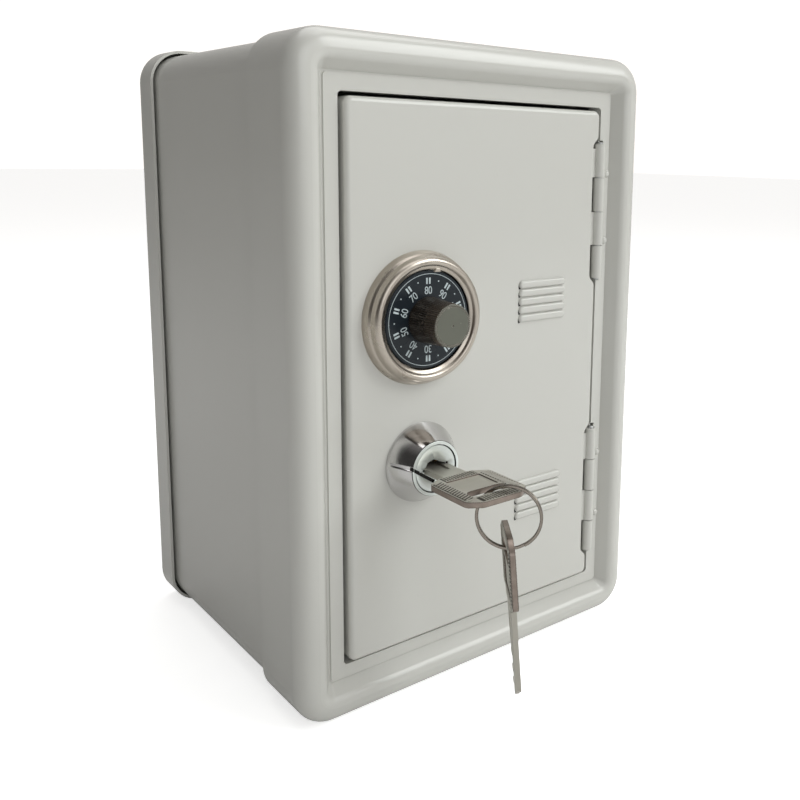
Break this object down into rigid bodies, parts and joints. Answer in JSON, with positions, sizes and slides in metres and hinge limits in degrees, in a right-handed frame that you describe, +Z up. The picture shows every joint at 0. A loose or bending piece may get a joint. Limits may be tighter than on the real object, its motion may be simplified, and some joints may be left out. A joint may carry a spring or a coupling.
{
  "type": "toy safe coin bank",
  "caption": "Small pressed-steel toy safe used as a coin bank, with a hinged front door, a numbered dial, a key lock and a coin slot in the top.",
  "frame": {"origin": "on the table, on the middle of the width, 50 mm behind the crest of the bead round the front and 52 mm ahead of the back", "axes": "+Z up, -Y towards someone facing the door, +X to their right, the hinge side"},
  "size_m": [0.12, 0.1425, 0.18],
  "materials": {
    "case_paint": "semi-gloss enamel",
    "plated_ring": "satin nickel",
    "dial_face": "satin black with pale numbers",
    "dial_metal": "dark anodised",
    "lock_chrome": "polished",
    "key_nickel": "satin nickel plate",
    "ring_steel": "polished",
    "zinc_steel": "bright zinc plate",
    "wafer_brass": "bare"
  },
  "bodies": {
    "case": {"front_frame": "case_paint", "body_wrap": "case_paint", "rear_cover": "case_paint", "upper_frame_leaf": "case_paint", "lower_frame_leaf": "case_paint", "upper_hinge_pin": "zinc_steel", "lower_hinge_pin": "zinc_steel"},
    "door": {"door_panel": "case_paint", "upper_door_leaf": "case_paint", "lower_door_leaf": "case_paint", "dial_ring": "plated_ring", "dial_wave_washer": "zinc_steel", "lock_housing": "lock_chrome", "lock_washer": "zinc_steel", "lock_nut": "zinc_steel"},
    "dial": {"dial_knob": "dial_metal", "dial_disc": "dial_face", "dial_spindle": "zinc_steel", "dial_retaining_clip": "zinc_steel"},
    "lock_core": {"lock_plug": "lock_chrome", "lock_wafers": "wafer_brass", "wafer_springs": "zinc_steel", "lock_cam": "zinc_steel", "cam_screw": "zinc_steel"},
    "key": {"key": "key_nickel"},
    "ring": {"key_ring": "ring_steel"},
    "spare_key": {"spare_key": "key_nickel"}
  },
  "joints": [
    {"name": "door_hinge", "type": "hinge", "parent": "case", "child": "door", "pos_m": [0.0446, -0.047, 0.09], "axis": [0, 0, 1], "range_deg": [0, 115]},
    {"name": "dial_turn", "type": "hinge", "parent": "door", "child": "dial", "pos_m": [-0.0224, -0.05, 0.107], "axis": [0, 1, 0], "continuous": true},
    {"name": "lock_turn", "type": "hinge", "parent": "door", "child": "lock_core", "pos_m": [-0.0224, -0.05, 0.067], "axis": [0, 1, 0], "range_deg": [0, 90]},
    {"name": "key_slide", "type": "slide", "parent": "lock_core", "child": "key", "axis": [0, -1, 0], "range_m": [0, 0.018]},
    {"name": "ring_level", "type": "hinge", "parent": "key", "child": "ring", "pos_m": [-0.0224, -0.0782, 0.067], "axis": [0, 1, 0], "range_deg": [-90, 0]},
    {"name": "spare_swing", "type": "hinge", "parent": "ring", "child": "spare_key", "pos_m": [-0.01861, -0.0816, 0.0526], "axis": [0.7071, -0.7071, 0], "range_deg": [-40, 20]}
  ],
  "couplings": [
    {"joint": "ring_level", "follows": "lock_turn", "ratio": -1}
  ]
}
